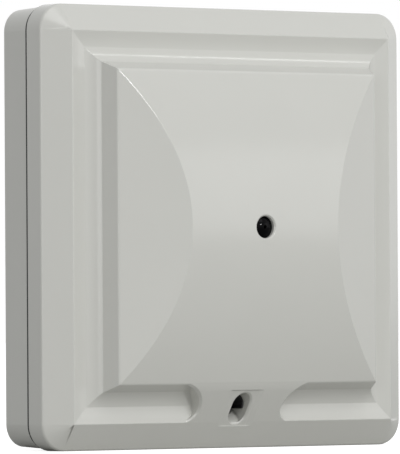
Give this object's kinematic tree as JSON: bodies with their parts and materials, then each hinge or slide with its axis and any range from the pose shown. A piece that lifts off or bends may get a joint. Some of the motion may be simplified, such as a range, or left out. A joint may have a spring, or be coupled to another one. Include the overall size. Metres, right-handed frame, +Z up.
{
  "type": "glass break sensor",
  "caption": "Square wall-mounted sensor that hears breaking glass, with a domed front, a central microphone hole and a hook-on cover over a base tray.",
  "frame": {"origin": "centre of the flat back face that lies on the wall", "axes": "+Z up the wall, +X to the right seen from the front, -Y out of the wall through the microphone hole"},
  "size_m": [0.089, 0.0259, 0.086],
  "materials": {
    "base_shell": "satin moulded ABS",
    "cover_shell": "satin moulded ABS",
    "screw_steel": "zinc plated",
    "board_laminate": "solder mask over glass laminate",
    "can_aluminium": "drawn can",
    "boot_rubber": "moulded rubber",
    "felt_cloth": "pressed felt",
    "terminal_plastic": "moulded polyamide",
    "clamp_brass": "plated brass",
    "switch_plastic": "moulded thermoplastic",
    "slider_plastic": "moulded thermoplastic",
    "dark_plastic": "moulded thermoplastic",
    "plunger_plastic": "moulded acetal",
    "relay_plastic": "sealed moulded case",
    "chip_resin": "moulded resin with tinned leads",
    "can_steel": "drawn steel can",
    "chip_ceramic": "glazed ceramic",
    "capacitor_ceramic": "fired ceramic"
  },
  "bodies": {
    "housing": {"base": "base_shell", "circuit_board": "board_laminate", "board_screws": "screw_steel", "microphone": "can_aluminium", "microphone_boot": "boot_rubber", "microphone_felt": "felt_cloth", "terminal_block": "terminal_plastic", "terminal_clamps": "clamp_brass", "terminal_screws": "screw_steel", "option_switch": "switch_plastic", "tamper_switch": "dark_plastic", "relay": "relay_plastic", "controller_chip": "chip_resin", "amplifier_chip": "chip_resin", "voltage_regulator": "chip_resin", "crystal": "can_steel", "capacitors": "can_aluminium", "diodes": "chip_resin", "resistors": "chip_ceramic", "chip_capacitors": "capacitor_ceramic"},
    "cover": {"cover": "cover_shell", "cover_screw": "screw_steel", "sound_grommet": "boot_rubber"},
    "plunger": {"tamper_plunger": "plunger_plastic"},
    "slider_1": {"option_slider_1": "slider_plastic"},
    "slider_2": {"option_slider_2": "slider_plastic"},
    "slider_3": {"option_slider_3": "slider_plastic"},
    "slider_4": {"option_slider_4": "slider_plastic"}
  },
  "joints": [
    {"name": "cover_hinge", "type": "hinge", "parent": "housing", "child": "cover", "pos_m": [0, -0.008, 0.0428], "axis": [-1, 0, 0], "range_deg": [0, 50]},
    {"name": "tamper_travel", "type": "slide", "parent": "housing", "child": "plunger", "axis": [0, -1, 0], "range_m": [0, 0.00125]},
    {"name": "option_slide_1", "type": "slide", "parent": "housing", "child": "slider_1", "axis": [0, 0, 1], "range_m": [0, 0.0016]},
    {"name": "option_slide_2", "type": "slide", "parent": "housing", "child": "slider_2", "axis": [0, 0, 1], "range_m": [0, 0.0016]},
    {"name": "option_slide_3", "type": "slide", "parent": "housing", "child": "slider_3", "axis": [0, 0, 1], "range_m": [0, 0.0016]},
    {"name": "option_slide_4", "type": "slide", "parent": "housing", "child": "slider_4", "axis": [0, 0, 1], "range_m": [0, 0.0016]}
  ],
  "couplings": [
    {"joint": "tamper_travel", "follows": "cover_hinge", "m_per_rad": 0.0014}
  ]
}
